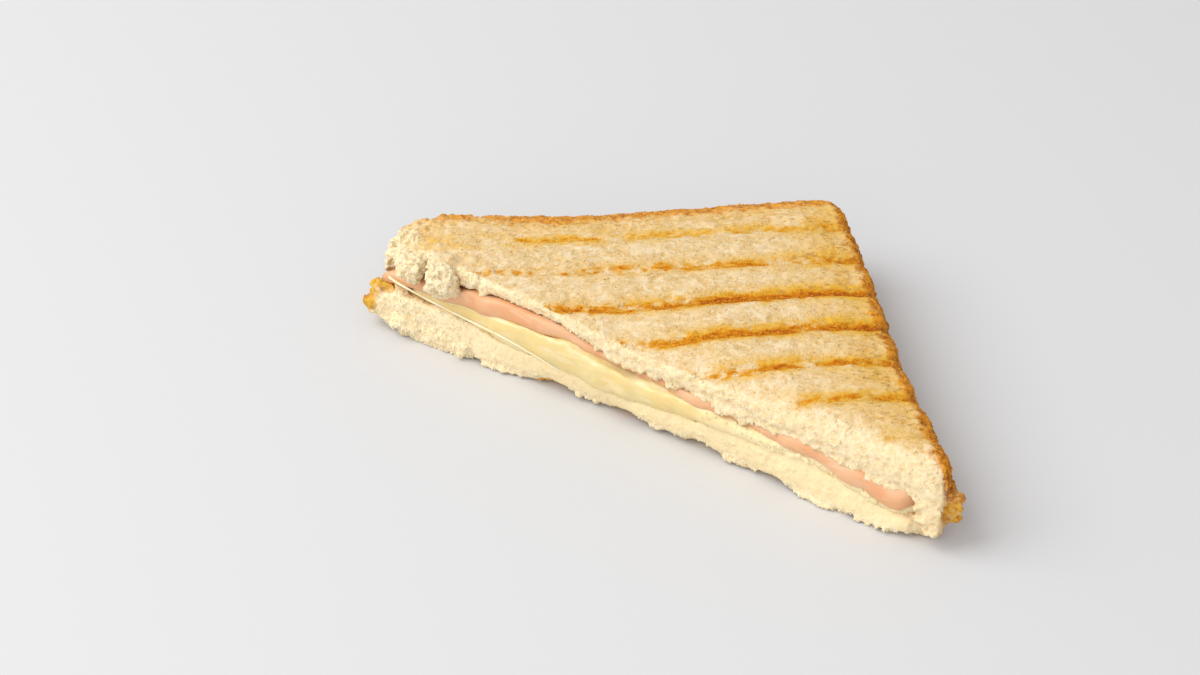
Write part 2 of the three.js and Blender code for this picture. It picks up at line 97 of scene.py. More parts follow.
# %% Camera
LENS_MM = 90
SENSOR_MM = 36
VIEW_AZIMUTH = math.radians(31.6)
VIEW_ELEVATION = math.radians(35.3)
VIEW_ROLL = math.radians(2.0)
VIEW_DISTANCE = 583.8 * MM
AIM = Vector((-22.1 * MM, -11.5 * MM, 0))


def add_object(name, data):
    thing = bpy.data.objects.new(name, data)
    bpy.context.scene.collection.objects.link(thing)
    return thing


def with_settings(thing, **settings):
    for key, value in settings.items():
        setattr(thing, key, value)
    return thing


def make_camera():
    toward = Vector((math.sin(VIEW_AZIMUTH) * math.cos(VIEW_ELEVATION),
                     -math.cos(VIEW_AZIMUTH) * math.cos(VIEW_ELEVATION),
                     math.sin(VIEW_ELEVATION)))
    data = with_settings(bpy.data.cameras.new("camera"), lens=LENS_MM, sensor_width=SENSOR_MM,
                         clip_start=10 * MM)
    camera = add_object("camera", data)
    turn = toward.to_track_quat("Z", "Y").to_matrix() @ Matrix.Rotation(VIEW_ROLL, 3, "Z")
    camera.matrix_world = Matrix.Translation(AIM + VIEW_DISTANCE * toward) @ turn.to_4x4()
    bpy.context.scene.camera = camera
    return camera


camera = make_camera()
print("camera at", [round(c, 4) for c in camera.location])

# %% [markdown]
# ## Floor and light
#
# A white table and a big soft light on the left, as in a bright food studio. A sun lamp would be
# simpler, but its shadows are hard. A wide soft box softens them, a weaker one and the pale world
# fill them, and the Standard view transform keeps pale food pale.

# %% Floor and light
FLOOR_SIZE = 3.0
FLOOR_COLOR = (0.66, 0.66, 0.665, 1)
WORLD_STRENGTH = 0.62
STUDIO_LIGHTS = [  # name, place, width of the soft box, power in watts
    ("key", Vector((-0.65, -0.44, 0.86)), 0.95, 9.9),
    ("front_fill", Vector((0.30, -1.05, 0.62)), 1.0, 4.4),
]


def written(bm, mesh):
    """Put a bmesh into a mesh, and free it."""
    bm.to_mesh(mesh)
    bm.free()
    return mesh


def new_piece(bm, name):
    return add_object(name, written(bm, bpy.data.meshes.new(name)))


def new_material(name):
    material = bpy.data.materials.new(name)
    material.use_nodes = True
    tree = material.node_tree
    return material, tree, tree.nodes["Principled BSDF"]


def feed(node, inputs):
    """Give a node's inputs numbers and colours, or link them to other nodes' outputs."""
    for socket, value in inputs.items():
        if isinstance(value, bpy.types.NodeSocket):
            node.id_data.links.new(value, node.inputs[socket])
        else:
            node.inputs[socket].default_value = value


def make_floor():
    bm = bmesh.new()
    bmesh.ops.create_grid(bm, x_segments=1, y_segments=1, size=FLOOR_SIZE / 2)
    floor = new_piece(bm, "floor")
    material, _, shader = new_material("white_table")
    feed(shader, {"Base Color": FLOOR_COLOR, "Roughness": 0.6})
    floor.data.materials.append(material)


def make_soft_box(name, place, width, power):
    data = bpy.data.lights.new(name, "AREA")
    light = add_object(name, with_settings(data, shape="SQUARE", size=width, energy=power))
    light.location = place
    light.rotation_euler = place.to_track_quat("Z", "Y").to_euler()


def make_world():
    world = bpy.data.worlds.new("studio")
    world.use_nodes = True
    background = world.node_tree.nodes["Background"]
    feed(background, {"Strength": WORLD_STRENGTH, "Color": (1, 1, 1, 1)})
    bpy.context.scene.world = world


make_floor()
for soft_box in STUDIO_LIGHTS:
    make_soft_box(*soft_box)
make_world()
bpy.context.scene.view_settings.view_transform = "Standard"
print("floor and light are in place")

# %% [markdown]
# ## From a plain layer to a fine one
#
# A packed layer is loose flat triangles. More subdivision alone would keep them long and uneven,
# so its copy is merged, rounded off once, and turned into an even skin of small squares with a
# voxel remesh. Crumbs that are joined to the copy beforehand grow together with it in the same
# step, as torn bread does. Faces that no one can see, between two layers, are thinned out again.

# %% Copy, fuse and remesh
MERGE_DISTANCE = 0.002 * MM
HIDDEN_WEIGHT = 50  # how much sooner a hidden face is thinned out than a seen one


def bmesh_of(mesh):
    bm = bmesh.new()
    bm.from_mesh(mesh)
    return bm


def evaluated_mesh(piece):
    """The mesh that a piece's modifiers, or a curve's bevel, would give."""
    bpy.context.view_layer.update()
    graph = bpy.context.evaluated_depsgraph_get()
    return bpy.data.meshes.new_from_object(piece.evaluated_get(graph))


def modified(piece, kind, **settings):
    """Change a piece's mesh with one modifier."""
    with_settings(piece.modifiers.new(kind, kind), **settings)
    mesh = evaluated_mesh(piece)
    old = piece.data
    piece.modifiers.clear()
    piece.data = mesh
    bpy.data.meshes.remove(old)
    mesh.name = piece.name


def soft_copy(node, name):
    """A packed layer with its loose triangles merged and then rounded off by one subdivision."""
    bm = bmesh_of(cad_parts[node].data)
    bmesh.ops.remove_doubles(bm, verts=bm.verts, dist=MERGE_DISTANCE)
    piece = new_piece(bm, name)
    modified(piece, "SUBSURF", levels=1, render_levels=1)
    return piece


def skinned(piece, voxel, rounds):
    """Give a piece an even skin of small squares, and smooth it a few times."""
    modified(piece, "REMESH", mode="VOXEL", voxel_size=voxel, adaptivity=0)
    bm = bmesh_of(piece.data)
    for _ in range(rounds):
        bmesh.ops.smooth_vert(bm, verts=bm.verts, factor=0.5,
                              use_axis_x=True, use_axis_y=True, use_axis_z=True)
    written(bm, piece.data)


def thinned(piece, hidden, kept_share):
    """Thin out the faces where hidden is 1, until a share of all faces is left."""
    group = piece.vertex_groups.new(name="hidden")
    for index in np.flatnonzero(hidden > 0.5):
        group.add([int(index)], 1.0, "REPLACE")
    modified(piece, "DECIMATE", ratio=kept_share, vertex_group="hidden",
             vertex_group_factor=HIDDEN_WEIGHT)
    piece.vertex_groups.clear()


# %% Finish a piece
def finished(piece, node, material):
    """Smooth shading, its material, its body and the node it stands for."""
    for polygon in piece.data.polygons:
        polygon.use_smooth = True
    piece.data.materials.clear()
    piece.data.materials.append(material)
    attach(piece, "root")
    if node:
        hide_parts(node)
    triangles = sum(len(polygon.vertices) - 2 for polygon in piece.data.polygons)
    print(f"{piece.name}: {triangles} triangles")


# %% Reading and moving many points at once
FULL_SHARE = 0.4  # share of its radius over which a spot has its full strength


def read_all(items, name, width=1, kind=float):
    """One value, or a few, from each vertex, face or corner of a mesh."""
    values = np.empty(len(items) * width, kind)
    items.foreach_get(name, values)
    return values.reshape(-1, width) if width > 1 else values


def points_of(mesh):
    return read_all(mesh.vertices, "co", 3)


def normals_of(mesh):
    return read_all(mesh.vertices, "normal", 3)


def move_points(mesh, points):
    mesh.vertices.foreach_set("co", points.ravel())
    mesh.update()


def write_attribute(mesh, name, values):
    attribute = mesh.attributes.new(name, "FLOAT", "POINT")
    attribute.data.foreach_set("value", np.clip(values, 0, 1).astype(np.float32))


def ease(low, high, values):
    """0 below low, 1 above high, and a smooth climb between them."""
    share = np.clip((values - low) / (high - low), 0, 1)
    return share * share * (3 - 2 * share)


def bell(values, width):
    return np.exp(-((values / width) ** 2))


def away_from(points, place):
    """Distance of each point from a place in mm."""
    return np.linalg.norm(points - np.array(place) * MM, axis=1)


def near(points, places, radius):
    """1 at each of some places and 0 beyond a radius from them."""
    away = np.min([away_from(points, place) for place in places], axis=0)
    return 1 - ease(FULL_SHARE * radius, radius, away)


# %% [markdown]
# ## Unevenness
#
# Bread is a foam. Its crumb is a net of pale walls round small holes, which a Voronoi pattern
# gives: where the two nearest cell centres are equally far away there is a wall, and between the
# walls there is a hole. Everything else that is uneven, such as browning and torn edges, comes
# from fractal noise. Squeezing the coordinates beforehand stretches the pattern in one direction.

# %% Noise and foam
NOISE_FALLOFF = 0.9  # how much weaker each finer layer of noise is
NOISE_STEP = 2.0  # and how much finer
WALL_TO_HOLE = (0.02, 0.42)  # how much further away the second nearest cell centre is


def bumps(points, size, octaves, seed):
    """Soft unevenness between about -1 and 1, with lumps of the given size."""
    shift = Vector((seed * 7.3, seed * 3.1, seed * 5.7))
    return np.array([noise.fractal(Vector(p) + shift, NOISE_FALLOFF, NOISE_STEP, octaves)
                     for p in points / size])


def foam(points, size, seed):
    """1 on the walls of a foam and 0 in the middle of its holes."""
    shift = Vector((seed * 2.9, seed * 8.3, seed * 4.7))
    cells = np.array([noise.voronoi(Vector(p) + shift)[0][:2] for p in points / size])
    return 1 - ease(*WALL_TO_HOLE, cells[:, 1] - cells[:, 0])


def loaf_points(points, stretch):
    """Points in the loaf's directions, squeezed so that a pattern comes out longer along it."""
    return np.column_stack((along_of(points) / stretch, across_of(points), points[:, 2]))


print(f"noise gets {NOISE_STEP:.0f} times finer with each layer")

# %% [markdown]
# ## Torn crumb
#
# A knife tears soft bread rather than slicing it cleanly, so the cut is covered in little crags
# and its edges are a fringe. Noise can push a skin in and out, but it can't make shreds that hang
# over. So small uneven balls are thrown at the cut face with rays, seeded so that they land in the
# same places every time, and the remesh melts them into the slice.

# %% Find the edges of a cut face
RAYS_FROM_Y = CUT_Y - 20 * MM
FACE_DEPTH = 9 * MM  # a hit further in than this isn't on the cut face
HEIGHT_STEP = 0.2 * MM
FACE_HEIGHTS = np.arange(HEIGHT_STEP / 2, 20 * MM, HEIGHT_STEP)
FACE_PLACES = np.arange(-62.5, 63, 0.5) * MM  # in X, along the whole cut


def hit_from_front(tree, x, z):
    hit = tree.ray_cast(Vector((x, RAYS_FROM_Y, z)), Vector((0, 1, 0)))[0]
    return hit if hit is not None and hit.y < CUT_Y + FACE_DEPTH else None


def face_edges(tree):
    """Places along the cut, each with the lowest and highest height of the cut face there."""
    edges = []
    for x in FACE_PLACES:
        heights = [z for z in FACE_HEIGHTS if hit_from_front(tree, x, z)]
        if heights:
            edges.append((x, heights[0], heights[-1]))
    return edges


print(f"rays feel for the cut face at {len(FACE_PLACES) * len(FACE_HEIGHTS)} places")

# %% Small uneven balls
FINE_BALL = 0.6 * MM  # larger balls get more corners
TALL_LEAN = 0.6  # radians that a tall ball leans at most
BALL_ROUGHNESS = 0.2  # share of its size that each corner of a ball is moved
BALLS_IN_CLUMP = 9


def add_ball(bm, place, size, draw, tall=1.0):
    """A small uneven ball, turned at random; a tall one keeps more or less upright."""
    fineness = 2 if size > FINE_BALL else 1
    axis = Vector([draw.uniform(-1, 1) for _ in range(3)])
    most = math.tau if tall == 1.0 else TALL_LEAN
    turn = Matrix.Rotation(draw.uniform(0, most), 4, axis.normalized())
    stretch = Matrix.Diagonal((draw.uniform(0.7, 1.35), draw.uniform(0.7, 1.2), tall, 1))
    made = bmesh.ops.create_icosphere(bm, subdivisions=fineness, radius=size,
                                      matrix=Matrix.Translation(place) @ turn @ stretch)
    for vert in made["verts"]:
        vert.co += Vector([draw.uniform(-BALL_ROUGHNESS, BALL_ROUGHNESS) * size for _ in range(3)])


def ball_size(sizes, draw):
    """Mostly small, now and then large."""
    return (sizes[0] + (sizes[1] - sizes[0]) * draw.random() ** 3) * MM


# %% Throw crumbs
def throw_at_face(bm, tree, edges, count, sizes, band, seed, stations=(0, 1), push=(0, 0.1, 0),
                  tall=1.0, from_top=False):
    """Balls on the cut face, pushed a little, in a band of heights above its lower edge or below
    its upper one. Sizes, band and push are in mm."""
    draw = random.Random(seed)
    places = [edge for edge in edges
              if stations[0] <= (edge[0] - CUT_START_X) / CUT_LENGTH <= stations[1]]
    thrown = 0
    for _ in range(count):
        x, low, high = draw.choice(places)
        x += draw.uniform(-0.25, 0.25) * MM
        step = draw.uniform(*band) * MM
        hit = hit_from_front(tree, x, high - step if from_top else low + step)
        if hit is None:
            continue
        add_ball(bm, hit + Vector(push) * MM * draw.random(), ball_size(sizes, draw), draw, tall)
        thrown += 1
    return thrown


def throw_into_box(bm, tree, count, sizes, low, high, seed):
    """Balls on the surface nearest to random places in a box, whose corners are in mm."""
    draw = random.Random(seed)
    for _ in range(count):
        place = Vector([draw.uniform(a, b) * MM for a, b in zip(low, high)])
        hit, normal, _, _ = tree.find_nearest(place)
        size = ball_size(sizes, draw)
        add_ball(bm, hit - 0.1 * size * normal, size, draw)
    return count


def clump(bm, place, half_sizes, lean, seed, fullness=0.62):
    """An uneven lump of crumb or curled crust at a place in mm, made of a few overlapping balls."""
    draw = random.Random(seed)
    turn = Matrix.Rotation(lean, 3, "Y")
    for _ in range(BALLS_IN_CLUMP):
        share = Vector([draw.uniform(-0.7, 0.7) * half for half in half_sizes])
        size = fullness * min(half_sizes) * MM * draw.uniform(0.8, 1.3)
        add_ball(bm, (Vector(place) + turn @ share) * MM, size, draw, 1.3)
    return BALLS_IN_CLUMP


def at_face(*how, **more):
    """A throw that is made later, once the slice's bmesh, search tree and edges are there."""
    return lambda bm, tree, edges: throw_at_face(bm, tree, edges, *how, **more)


def in_box(*how):
    return lambda bm, tree, edges: throw_into_box(bm, tree, *how)


def lump(*how):
    return lambda bm, tree, edges: clump(bm, *how)


def lumps(places, half_sizes, first_seed, lean=0.2):
    return [lump(place, sizes, lean, first_seed + row)
            for row, (place, sizes) in enumerate(zip(places, half_sizes))]


# %% [markdown]
# ## Grill marks
#
# The ribs of the grill pressed parallel grooves and browned them. A mark has a narrow brown core
# that breaks up into streaks and specks, and a wider golden halo where only the heat reached.
# A texture could draw stripes, but these have to lie in the grooves, so the same named distances
# give both the relief of a groove and, as attributes on the mesh, its browning.

# %% Where the grill and the crust are
FIRST_GROOVE = 12.4 * MM
GROOVE_PITCH = 11.2 * MM
LAST_GROOVE = 7
SQUARE_CORNER_RADIUS = 6 * MM
DOME_CORNER_RADIUS = 27 * MM
TIP_RADIUS = 12 * MM
NECK_DEPTH = 0.6 * MM  # the back crust is drawn in here and swells at the dome
DOME_SWELL = 2.6 * MM
BASE_HOLLOW = 1.3 * MM  # and the side crust is slightly hollow


def corner_distance(first, second, radius):
    round_part = radius - np.hypot(radius - first, radius - second)
    in_corner = (first < radius) & (second < radius)
    return np.where(in_corner, round_part, np.minimum(first, second))


def from_crust(points):
    """Distance in from the nearest crust."""
    along, across = along_of(points), across_of(points)
    back = NECK_DEPTH * bell(along - 57 * MM, 15 * MM) - DOME_SWELL * bell(along - 79 * MM, 10 * MM)
    side = BASE_HOLLOW * bell(across - 60 * MM, 26 * MM)
    square = corner_distance(across - back, along - side, SQUARE_CORNER_RADIUS)
    dome = corner_distance(across - back, BACK_EDGE - along, DOME_CORNER_RADIUS)
    tip = corner_distance(along - side, FRONT_EDGE - across, TIP_RADIUS)
    return np.minimum(np.minimum(square, dome), tip)


def nearest_groove(across):
    """The number of the groove nearest to each distance across, and how far off its middle is."""
    number = np.clip(np.round((across - FIRST_GROOVE) / GROOVE_PITCH), 0, LAST_GROOVE)
    return number.astype(int), across - FIRST_GROOVE - number * GROOVE_PITCH


def nearest_mark(points, wander=0.0):
    """The same for the browned lines. The first ones lay a little askew in the grill, and all run
    straight on where the slice bends down to the cut."""
    along, across = along_of(points), across_of(points)
    askew = 0.04 * np.maximum(along - 25 * MM, 0) * (1 - ease(24 * MM, 36 * MM, across))
    straightened = 6 * MM * np.exp(-np.maximum(behind_cut(points), 0) / (2.6 * MM))
    return nearest_groove(across - 0.5 * MM + askew + straightened + wander)


# How brown each groove is at the cut, in the middle and at the side crust: cores, then halos.
TOP_MARKS = [(0.1, 0.42, 0.42), (0.3, 0.55, 0.7), (0.55, 1.0, 1.1), (0.55, 1.0, 1.15),
             (0.8, 0.66, 0.85), (0.3, 0.5, 0.55), (0.1, 0.22, 0.3), (0.1, 0.12, 0.2)]
TOP_HALOS = [(0.55, 0.65, 0.7), (0.1, 0.5, 0.9), (0.35, 0.95, 1.2), (0.4, 1.05, 1.25),
             (0.75, 0.85, 1.1), (0.4, 0.7, 0.9), (0.15, 0.45, 0.6), (0.1, 0.35, 0.45)]
BASE_MARKS = [(0.4, 0.5, 0.45), (0.5, 0.7, 0.6), (0.6, 0.9, 0.7), (0.7, 0.9, 0.8),
              (0.6, 0.8, 0.7), (0.5, 0.6, 0.5), (0.3, 0.4, 0.3), (0.2, 0.2, 0.2)]
CORE_HALF_WIDTH = 1.35 * MM
HALO_HALF_WIDTH = 2.9 * MM
HALO_SHIFT = 0.1 * MM  # the halo lies a little more towards the back crust
SHORTEST_ROW = 10 * MM


def mark_strength(points, marks):
    number, _ = nearest_mark(points)
    row = BACK_EDGE * (1 - across_of(points) / FRONT_EDGE)
    share = np.clip(along_of(points) / np.maximum(row, SHORTEST_ROW), 0, 1)  # 1 at the cut
    table = np.array(marks)[number]
    at_cut, middle, at_crust = table[:, 0], table[:, 1], table[:, 2]
    inner = np.where(share < 0.5, at_crust, at_cut)
    return middle + (inner - middle) * ease(0, 1, np.abs(2 * share - 1))


def grill_marks(points, marks, halos, seed):
    """How brown each point is in the core of a mark and in the golden halo round it, 0 to 1."""
    wander = 0.5 * MM * bumps(points, 9 * MM, 2, seed)
    _, offset = nearest_mark(points, wander)
    patches = bumps(loaf_points(points, 2.2), 3.4 * MM, 3, seed + 2)
    specks = bumps(loaf_points(points, 1.7), 1.1 * MM, 3, seed + 3)
    ragged = 0.7 * MM * bumps(loaf_points(points, 2.5), 1.0 * MM, 3, seed + 1)
    strength = mark_strength(points, marks)  # a weak mark is only specks
    core = np.clip(1.3 * strength + 0.55 * patches + 0.6 * specks - 0.32, 0, 1.2)
    core *= ease(0, 0.2, strength)
    core *= bell(np.maximum(np.abs(offset) + ragged, 0), CORE_HALF_WIDTH)
    halo = mark_strength(points, halos) * np.clip(0.8 + 0.9 * patches + 0.5 * specks, 0, 1)
    halo *= bell(offset + HALO_SHIFT, HALO_HALF_WIDTH)
    return core, halo


print(f"{len(TOP_MARKS)} grill marks, {GROOVE_PITCH / MM:.1f} mm apart")

# %% [markdown]
# ## Small helpers for materials
#
# Every pattern reads Object coordinates, so it is fixed to the food. Where the browning follows
# the form, the material reads an attribute that was worked out from the mesh. Nodes could be laid
# out one by one in the editor. A few short functions keep a long recipe readable instead.

# %% Nodes in a few words
def node_of(tree, kind, inputs=None, **settings):
    node = with_settings(tree.nodes.new(kind), **settings)
    feed(node, inputs or {})
    return node


def attribute(tree, name):
    return node_of(tree, "ShaderNodeAttribute", attribute_name=name).outputs["Fac"]


# %% Nodes for patterns
LOAF_TURN = math.atan2(FRONT_EDGE, BACK_EDGE) - math.pi  # turns X to the loaf's "along"


def noise_node(tree, size, detail=3, roughness=0.55, stretch=(1, 1, 1), loaf=False):
    """Noise with lumps of the given size, in metres, on Object coordinates. With loaf set they are
    turned first, so that stretch counts along, across and up."""
    inputs = {"Scale": 1 / size, "Detail": detail, "Roughness": roughness,
              "Vector": placed(tree, stretch, loaf)}
    return node_of(tree, "ShaderNodeTexNoise", inputs).outputs["Fac"]


def placed(tree, stretch, loaf):
    where = node_of(tree, "ShaderNodeTexCoord").outputs["Object"]
    if loaf:
        inputs = {"Angle": -LOAF_TURN, "Vector": where}
        turned = node_of(tree, "ShaderNodeVectorRotate", inputs, rotation_type="Z_AXIS")
        where = turned.outputs["Vector"]
    inputs = {"Scale": [1 / way for way in stretch], "Vector": where}
    return node_of(tree, "ShaderNodeMapping", inputs).outputs["Vector"]


def pore_node(tree, size, stretch=(1, 1, 1)):
    """0 on the walls of a foam and 1 in its pores; noise bends the walls and varies the pores."""
    straight = placed(tree, stretch, loaf=True)
    inputs = {"Scale": 0.9 / size, "Detail": 2, "Vector": straight}
    warp = node_of(tree, "ShaderNodeTexNoise", inputs).outputs["Color"]
    inputs = {0: warp, "Scale": 1.1 * size}
    bend = node_of(tree, "ShaderNodeVectorMath", inputs, operation="SCALE").outputs["Vector"]
    inputs = {0: straight, 1: bend}
    bent = node_of(tree, "ShaderNodeVectorMath", inputs, operation="ADD").outputs["Vector"]
    inputs = {"Scale": 1 / size, "Vector": bent}
    texture = node_of(tree, "ShaderNodeTexVoronoi", inputs, feature="DISTANCE_TO_EDGE")
    return ranged(texture.outputs["Distance"], 0.03, 0.24)


# %% Nodes for sums and blends, in the same tree as the output they are given
def ranged(value, low, high, to_low=0.0, to_high=1.0):
    """A smooth climb from one value to another while the input goes from low to high."""
    inputs = {"Value": value, "From Min": low, "From Max": high, "To Min": to_low, "To Max": to_high}
    node = node_of(value.id_data, "ShaderNodeMapRange", inputs, interpolation_type="SMOOTHSTEP")
    return node.outputs["Result"]


def arithmetic(operation, first, second):
    inputs = {0: first, 1: second}
    node = node_of(first.id_data, "ShaderNodeMath", inputs, operation=operation, use_clamp=True)
    return node.outputs["Value"]


def times(first, second):
    return arithmetic("MULTIPLY", first, second)


def plus(first, second):
    return arithmetic("ADD", first, second)


def mixed_values(share, first, second):
    inputs = {0: share, 2: first, 3: second}
    return node_of(share.id_data, "ShaderNodeMix", inputs, data_type="FLOAT").outputs[0]


def mixed(share, first, second):
    """Blend of two colours; each is an (r, g, b) or another node's colour."""
    first, second = ((*one, 1) if isinstance(one, tuple) else one for one in (first, second))
    inputs = {0: share, 6: first, 7: second}
    return node_of(share.id_data, "ShaderNodeMix", inputs, data_type="RGBA").outputs[2]


def set_food(shader, color, roughness, shine, glow, glow_color, depth):
    """Its colour, how rough and shiny it is, and how much light sinks in, in which colours and
    how deep."""
    feed(shader, {"Base Color": color, "Roughness": roughness, "Specular IOR Level": shine,
                  "Subsurface Weight": glow, "Subsurface Radius": glow_color,
                  "Subsurface Scale": depth})


def bump_from(shader, height, strength, distance):
    inputs = {"Height": height, "Strength": strength, "Distance": distance}
    feed(shader, {"Normal": node_of(shader.id_data, "ShaderNodeBump", inputs).outputs["Normal"]})


print(f"patterns turn by {math.degrees(LOAF_TURN):.0f} degrees to follow the loaf")

# %% [markdown]
# ## The finish of toasted bread
#
# Toast is pale crumb, golden near the grill, with brown marks and a hard crust, and the shade in its
# holes, pores and pits is painted into its colour.
# Each could be a material of its own, but on real bread they fade into each other. So one material
# serves both slices: it starts from the crumb, then lays toasting, marks and crust over it, each
# where its attribute says, and noise breaks up every border.

# %% Bread material
# The darker crumb, torn, toast and crust colours also serve as painted shade in holes and pits.
CRUMB_PALE = (0.76, 0.595, 0.355)
CRUMB_SHADE = (0.67, 0.43, 0.16)
CRUMB_WHITE = (0.88, 0.745, 0.53)
FRECKLE = (0.53, 0.30, 0.07)
CRUMB_GREY = (0.74, 0.53, 0.27)
TORN_PALE = (0.94, 0.80, 0.545)
TORN_SHADE = (0.88, 0.68, 0.38)
SOAKED = (0.92, 0.74, 0.42)
TOAST_LIGHT = (0.80, 0.52, 0.17)
TOAST_GOLD_AND_PORE_SHADE = (0.68, 0.36, 0.055)
HALO_GOLD = (0.74, 0.42, 0.05)
MARK_GOLD = (0.66, 0.29, 0.012)
MARK_ORANGE = (0.55, 0.165, 0.003)
MARK_BROWN = (0.36, 0.085, 0.003)
CRUST_LIGHT = (0.90, 0.41, 0.045)
CRUST_ORANGE = (0.74, 0.29, 0.016)
CRUST_BROWN_AND_PIT_SHADE = (0.36, 0.10, 0.008)


def bread_material():
    material, tree, shader = new_material("toasted_bread")
    fine = noise_node(tree, 0.5 * MM, 4, 0.6)
    coarse = noise_node(tree, 1.5 * MM, 4, 0.65)
    patch = noise_node(tree, 6 * MM, 3, 0.55, stretch=(1.6, 1, 1), loaf=True)
    wide = noise_node(tree, 3.2 * MM, 4, 0.6, stretch=(1.3, 1, 1), loaf=True)
    speck = noise_node(tree, 0.8 * MM, 2, 0.5, stretch=(2.2, 1, 1), loaf=True)
    streak = noise_node(tree, 0.55 * MM, 3, 0.6, stretch=(4, 1, 1), loaf=True)
    round_pores = pore_node(tree, 0.85 * MM)
    long_pores = pore_node(tree, 0.95 * MM, stretch=(2.0, 1, 1))
    beside = attribute(tree, "beside")
    pores = mixed_values(beside, round_pores, long_pores)
    hole = attribute(tree, "hole")

    # Painted shade: the crumb is darker in its pores, most of all beside the crust, and in the holes of
    # its skin.
    clear = ranged(wide, 0.36, 0.56, 1.0, 0.35)
    depth = times(pores, clear)
    strength = ranged(beside, 0, 1, 0.55, 1.0)
    shade = arithmetic("MAXIMUM", times(depth, strength), hole)
    grain = ranged(fine, 0.4, 0.58, 0.45, 0.0)
    crumb = mixed(plus(shade, grain), CRUMB_PALE, CRUMB_SHADE)
    crumb = mixed(ranged(wide, 0.5, 0.64, 0, 0.45), crumb, CRUMB_WHITE)
    crumb = mixed(ranged(patch, 0.5, 0.68, 0, 0.3), crumb, CRUMB_GREY)
    crumb = mixed(ranged(coarse, 0.5, 0.6, 0, 0.6), crumb, CRUMB_WHITE)
    # Painted shade in the crags of torn crumb, with random grain.
    torn_crumb = mixed(plus(hole, grain), TORN_PALE, TORN_SHADE)
    color = mixed(attribute(tree, "torn"), crumb, torn_crumb)
    color = mixed(attribute(tree, "soak"), color, SOAKED)

    # Toasted crumb is darker gold in its pores: painted shade, with random grain.
    toasted = mixed(plus(shade, grain), TOAST_LIGHT, TOAST_GOLD_AND_PORE_SHADE)
    toast = times(attribute(tree, "toast"), ranged(patch, 0.32, 0.6, 0.62, 1.0))
    color = mixed(toast, color, toasted)

    halo = times(attribute(tree, "halo"), ranged(coarse, 0.35, 0.6, 0.6, 1.1))
    color = mixed(ranged(halo, 0.0, 0.68), color, HALO_GOLD)
    browned = plus(attribute(tree, "toast"), attribute(tree, "halo"))
    chance = plus(times(browned, 0.9), 0.1)
    color = mixed(times(ranged(speck, 0.59, 0.68), chance), color, FRECKLE)

    broken = ranged(streak, 0.34, 0.62, 0.62, 1.25)
    grained = ranged(fine, 0.38, 0.58, 0.5, 1.15)
    core = times(attribute(tree, "mark"), times(broken, grained))
    for low, high, brown in (0.05, 0.4, MARK_GOLD), (0.3, 0.75, MARK_ORANGE), (0.72, 1.05, MARK_BROWN):
        color = mixed(ranged(core, low, high), color, brown)

    crust = mixed(ranged(coarse, 0.38, 0.6), CRUST_BROWN_AND_PIT_SHADE, CRUST_ORANGE)
    crust = mixed(ranged(fine, 0.49, 0.66), crust, CRUST_LIGHT)
    # Painted shade: the crust is darker brown in its pits.
    crust = mixed(times(hole, 0.7), crust, CRUST_BROWN_AND_PIT_SHADE)
    color = mixed(attribute(tree, "crust"), color, crust)
    set_food(shader, color, 0.75, 0.15, 0.2, (1.0, 0.55, 0.25), 1.0 * MM)
    skin = arithmetic("SUBTRACT", times(fine, 0.9), times(depth, 0.5))
    bump_from(shader, skin, 0.7, 0.22 * MM)
    return material


bread = bread_material()
print("bread material is ready")

# %% [markdown]
# ## The slices
#
# Both slices share one recipe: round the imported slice, throw crumbs at its cut, remesh it, and
# then push its skin in and out. A Displace modifier would rough it up all over alike. Moving each
# point by the part it is on gives the lands the fine foam of crumb that was pressed flat, the cut
# its coarse torn crumb, and the crust a hard grainy skin. What differs between the slices is where
# they are browned and how torn they are.

# %% Parts of a slice
SLICE_VOXEL = 0.33 * MM
KEPT_SHARE = 0.62  # of a slice's faces, after its hidden side is thinned


def parts_of_slice(points, plain, inside, torn_reach):
    """Shares from 0 to 1 that say which part of a slice each point is on, by the facing of the
    plain slice there. inside is +1 where the face towards the filling looks up, -1 where down."""
    facing = np.array([plain.find_nearest(Vector(p))[1] for p in points])
    cut = behind_cut(points)
    edge = from_crust(points)
    outer = ease(0.35, 0.75, -inside * facing[:, 2])
    inner = ease(0.1, 0.5, inside * facing[:, 2]) * ease(4 * MM, 8 * MM, cut)
    reach = torn_reach(points) * (1 + 0.5 * bumps(points, 4 * MM, 2, 3))
    face = ease(0.35, 0.7, -facing[:, 1]) * (1 - ease(4 * MM, 7 * MM, cut))
    torn = np.maximum(face, 1 - ease(0.3 * reach, reach, cut)) * (1 - inner)
    side = (1 - outer) * (1 - inner) * (1 - torn)
    return {"cut": cut, "edge": edge, "outer": outer * (1 - torn), "inner": inner, "face": face,
            "torn": torn, "side": side}


# %% Relief of a slice
RIM_RISE = 0.35  # mm that the hard crust stands above the pressed crumb
NOTCH = (-50.3, -12.0, 17.8)  # a nick in the back crust
NOTCH_DEPTH = 1.3  # mm
GROOVE_STRENGTHS = np.array([0.75, 0.85, 1, 1, 1, 0.9, 0.8, 0.5])
GROOVE_FILL = 0.4  # mm, because a packed groove is wider than a real one
FILL_HALF_WIDTH = 1.5 * MM
GROOVE_PRESS = 0.42  # mm, pressed back in along the browned line
PRESS_HALF_WIDTH = 0.9 * MM
LAND_BUMPS, LAND_SWELL, LAND_PORES = 0.16, 0.2, 0.34  # mm, of the pressed crumb
TORN_BUMPS, TORN_PORES = 0.5, 0.35  # mm, of the torn crumb
CRUST_BUMPS, CRUST_PORES = 0.5, 0.3  # mm


